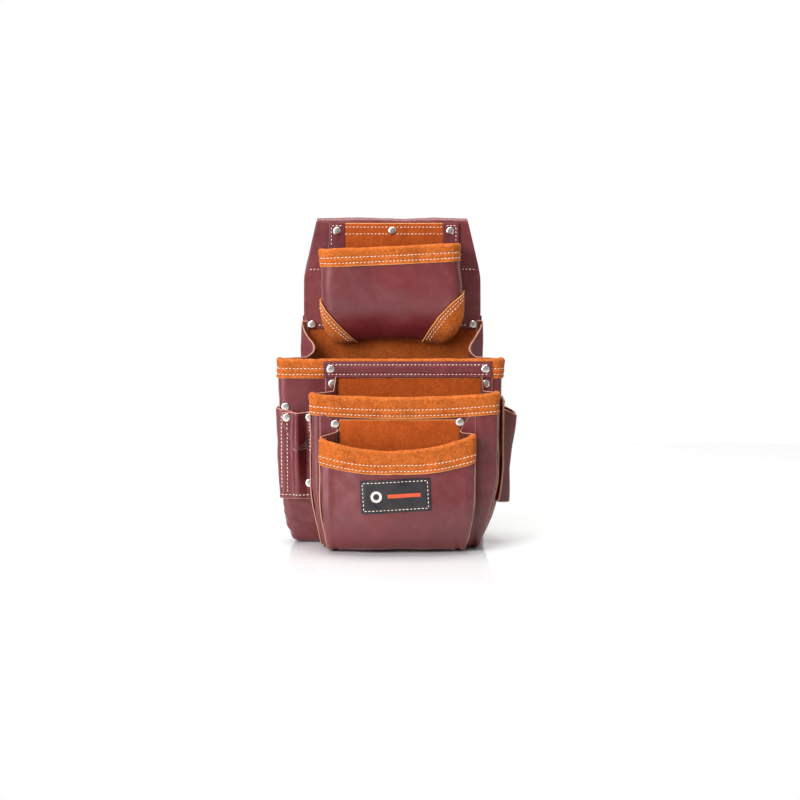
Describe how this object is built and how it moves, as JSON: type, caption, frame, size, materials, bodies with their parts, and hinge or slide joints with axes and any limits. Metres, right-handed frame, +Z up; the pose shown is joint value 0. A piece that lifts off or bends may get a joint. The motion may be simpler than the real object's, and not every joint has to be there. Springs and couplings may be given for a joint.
{
  "type": "electrician tool pouch",
  "caption": "Leather belt-hung tool pouch with stacked bound pockets, folded gussets, side tool sleeves, riveted corners and a belt tunnel.",
  "frame": {"origin": "middle of the bounding box, at the level of the pouch's foot", "axes": "+Z up along the back panel, -Y towards the pockets' front, +X to the right when seen from the front"},
  "size_m": [0.2746, 0.1518, 0.37],
  "materials": {
    "grain_leather": "oil-tanned burgundy grain leather, semi-gloss with fine grain",
    "suede": "orange suede, matt nap",
    "label": "black smooth leather, satin",
    "rivet_metal": "nickel-plated steel, polished"
  },
  "bodies": {
    "root": {"upper_back_panel": "grain_leather", "lower_back_panel": "grain_leather", "main_pocket_front": "grain_leather", "main_pocket_gusset_left": "grain_leather", "main_pocket_gusset_right": "grain_leather", "rim_band": "grain_leather", "middle_pocket_front": "grain_leather", "middle_pocket_gusset_left": "grain_leather", "middle_pocket_gusset_right": "grain_leather", "front_pocket_front": "grain_leather", "front_pocket_gusset_left": "grain_leather", "front_pocket_gusset_right": "grain_leather", "upper_pocket_front": "grain_leather", "left_sleeve_panel": "grain_leather", "left_tool_loop": "grain_leather", "right_sleeve_back": "grain_leather", "right_sleeve_front": "grain_leather", "main_pocket_backing": "suede", "main_pocket_binding": "suede", "middle_pocket_backing": "suede", "middle_pocket_binding": "suede", "front_pocket_backing": "suede", "front_pocket_binding": "suede", "upper_pocket_backing": "suede", "upper_pocket_binding": "suede", "upper_pocket_corner_left": "suede", "upper_pocket_corner_right": "suede", "label_patch": "label", "rivets_upper_pocket": "rivet_metal", "rivets_main_pocket": "rivet_metal", "rivets_rim_band": "rivet_metal", "rivets_middle_pocket": "rivet_metal", "rivets_front_pocket": "rivet_metal", "rivets_left_sleeve": "rivet_metal", "rivets_right_sleeve": "rivet_metal"}
  },
  "joints": []
}
